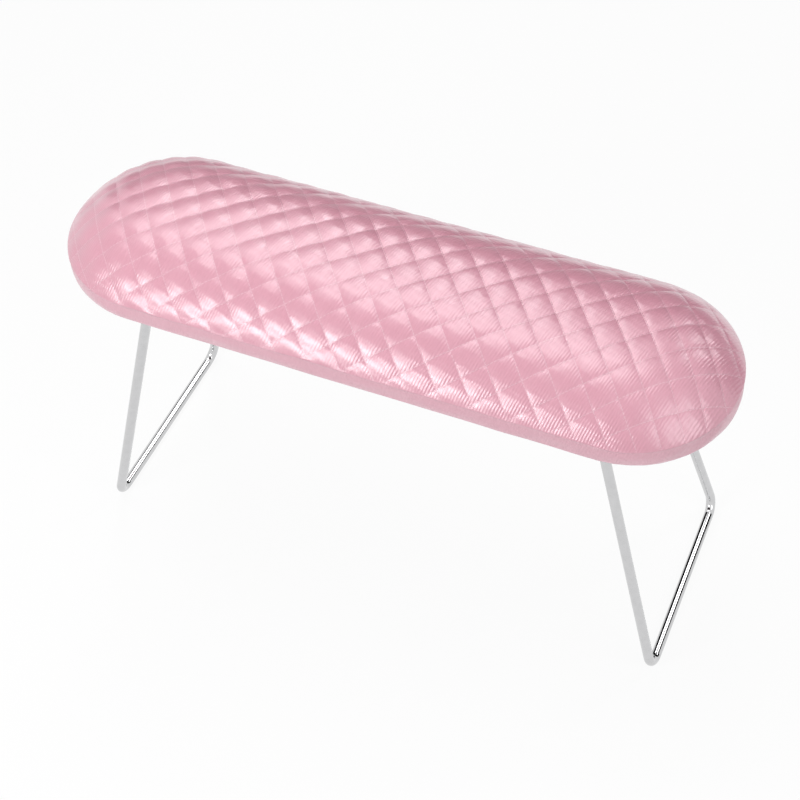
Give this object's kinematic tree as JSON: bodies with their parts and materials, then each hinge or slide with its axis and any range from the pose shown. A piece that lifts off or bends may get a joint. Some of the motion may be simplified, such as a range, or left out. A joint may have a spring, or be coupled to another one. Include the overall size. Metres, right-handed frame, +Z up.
{
  "type": "manicure hand rest",
  "caption": "Long padded hand rest with round ends: quilted leatherette over crowned foam on a board, held above the table by two splayed legs of bent steel rod.",
  "frame": {"origin": "on the floor plane, under the middle of the pad", "axes": "+X along the pad to the right, +Y to the rear, +Z up"},
  "size_m": [0.4, 0.1316, 0.2266],
  "materials": {
    "leatherette": "pink quilted leatherette with a satin sheen",
    "foam": "open-cell upholstery foam",
    "plywood": "sanded plywood",
    "lining": "black non-woven sheet",
    "polished_steel": "polished steel rod",
    "zinc": "zinc-plated steel"
  },
  "bodies": {
    "root": {"cover": "leatherette", "foam_pad": "foam", "base_board": "plywood", "bottom_lining": "lining", "leg_left": "polished_steel", "leg_right": "polished_steel", "clip_left_front_1": "zinc", "clip_left_front_2": "zinc", "clip_left_rear_1": "zinc", "clip_left_rear_2": "zinc", "clip_right_front_1": "zinc", "clip_right_front_2": "zinc", "clip_right_rear_1": "zinc", "clip_right_rear_2": "zinc", "screw_left_front_1a": "zinc", "screw_left_front_1b": "zinc", "screw_left_front_2a": "zinc", "screw_left_front_2b": "zinc", "screw_left_rear_1a": "zinc", "screw_left_rear_1b": "zinc", "screw_left_rear_2a": "zinc", "screw_left_rear_2b": "zinc", "screw_right_front_1a": "zinc", "screw_right_front_1b": "zinc", "screw_right_front_2a": "zinc", "screw_right_front_2b": "zinc", "screw_right_rear_1a": "zinc", "screw_right_rear_1b": "zinc", "screw_right_rear_2a": "zinc", "screw_right_rear_2b": "zinc", "staple_01": "zinc", "staple_02": "zinc", "staple_03": "zinc", "staple_04": "zinc", "staple_05": "zinc", "staple_06": "zinc", "staple_07": "zinc", "staple_08": "zinc", "staple_09": "zinc", "staple_10": "zinc", "staple_11": "zinc", "staple_12": "zinc", "staple_13": "zinc", "staple_14": "zinc", "staple_15": "zinc", "staple_16": "zinc"}
  },
  "joints": []
}
